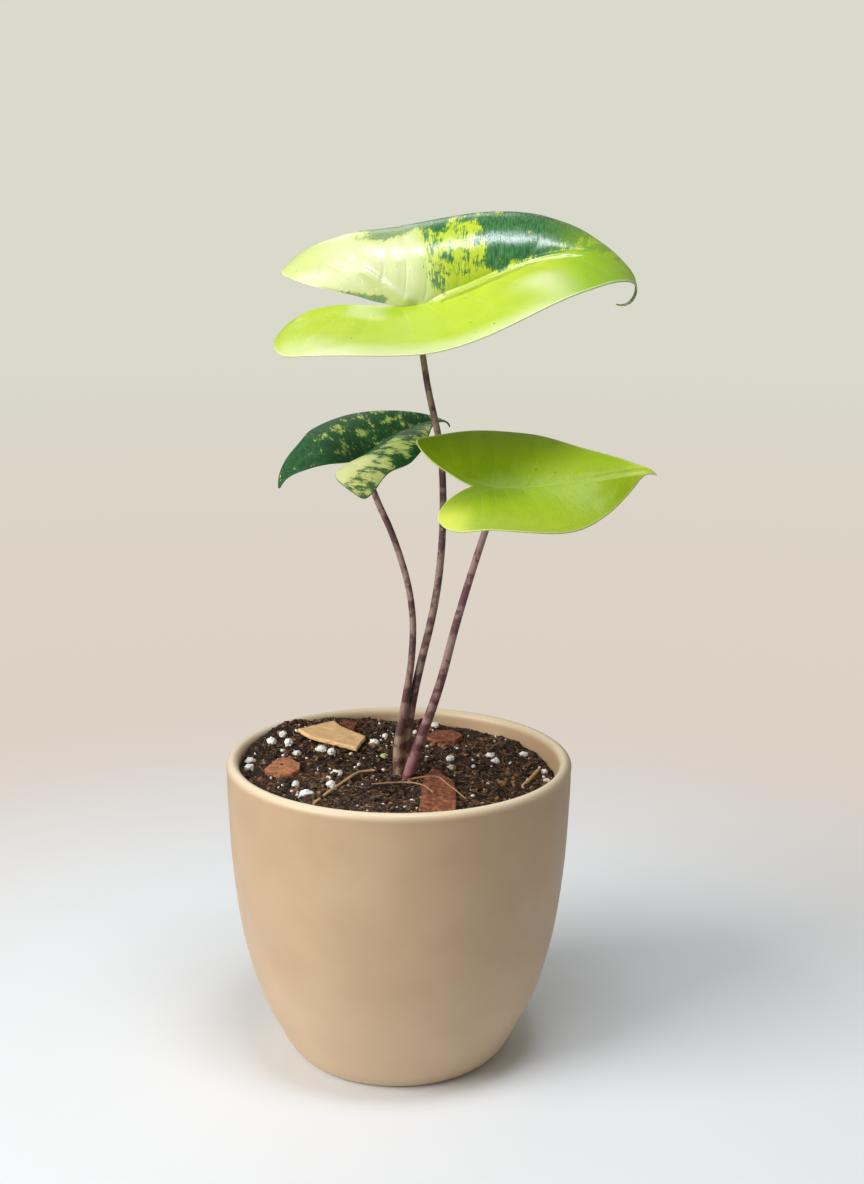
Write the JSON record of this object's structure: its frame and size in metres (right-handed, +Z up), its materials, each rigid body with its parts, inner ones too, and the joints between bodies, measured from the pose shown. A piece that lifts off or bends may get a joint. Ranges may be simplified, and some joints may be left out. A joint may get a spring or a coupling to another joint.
{
  "type": "potted alocasia plant",
  "caption": "Young alocasia with arrow-shaped variegated leaves on slender banded stalks, in peaty potting mix in a rounded glazed ceramic pot.",
  "frame": {"origin": "centre of the pot's flat base, on the surface it stands on", "axes": "+Z up the plant, -Y towards the viewer in front, +X to the viewer's right"},
  "size_m": [0.1554, 0.13, 0.3173],
  "materials": {
    "pot_glaze": "satin warm beige glaze",
    "potting_mix": "dark crumbly peat mix",
    "stalk": "smooth stalk with maroon bands",
    "stalk_pink": "smooth stalk, pink towards its foot",
    "leaf_two_tone": "waxy, lime half and green half",
    "leaf_marbled": "waxy, dark green marbled with cream",
    "leaf_lime": "waxy plain lime",
    "pale_wood": "split pale wood",
    "bark": "rough pine bark",
    "twig": "dry twig",
    "root": "fine dry root",
    "perlite": "matte white expanded grains",
    "fertiliser": "pale coated bead"
  },
  "bodies": {
    "root": {"pot": "pot_glaze", "soil": "potting_mix", "petiole_tall": "stalk", "petiole_left": "stalk", "petiole_right": "stalk_pink", "leaf_large": "leaf_two_tone", "leaf_marbled": "leaf_marbled", "leaf_lime": "leaf_lime", "wood_chip": "pale_wood", "bark_chip_dark": "bark", "bark_chip_left": "bark", "bark_chip_back": "bark", "bark_chip_front": "bark", "twig_long": "twig", "twig_right": "twig", "root_short": "root", "root_long": "root", "perlite_01": "perlite", "perlite_02": "perlite", "perlite_03": "perlite", "perlite_04": "perlite", "perlite_05": "perlite", "perlite_06": "perlite", "perlite_07": "perlite", "perlite_08": "perlite", "perlite_09": "perlite", "perlite_10": "perlite", "perlite_11": "perlite", "perlite_12": "perlite", "perlite_13": "perlite", "perlite_14": "perlite", "perlite_15": "perlite", "perlite_16": "perlite", "perlite_17": "perlite", "perlite_18": "perlite", "perlite_19": "perlite", "perlite_20": "perlite", "perlite_21": "perlite", "perlite_22": "perlite", "perlite_23": "perlite", "perlite_24": "perlite", "perlite_25": "perlite", "perlite_26": "perlite", "perlite_27": "perlite", "perlite_28": "perlite", "fertiliser_bead": "fertiliser"}
  },
  "joints": []
}
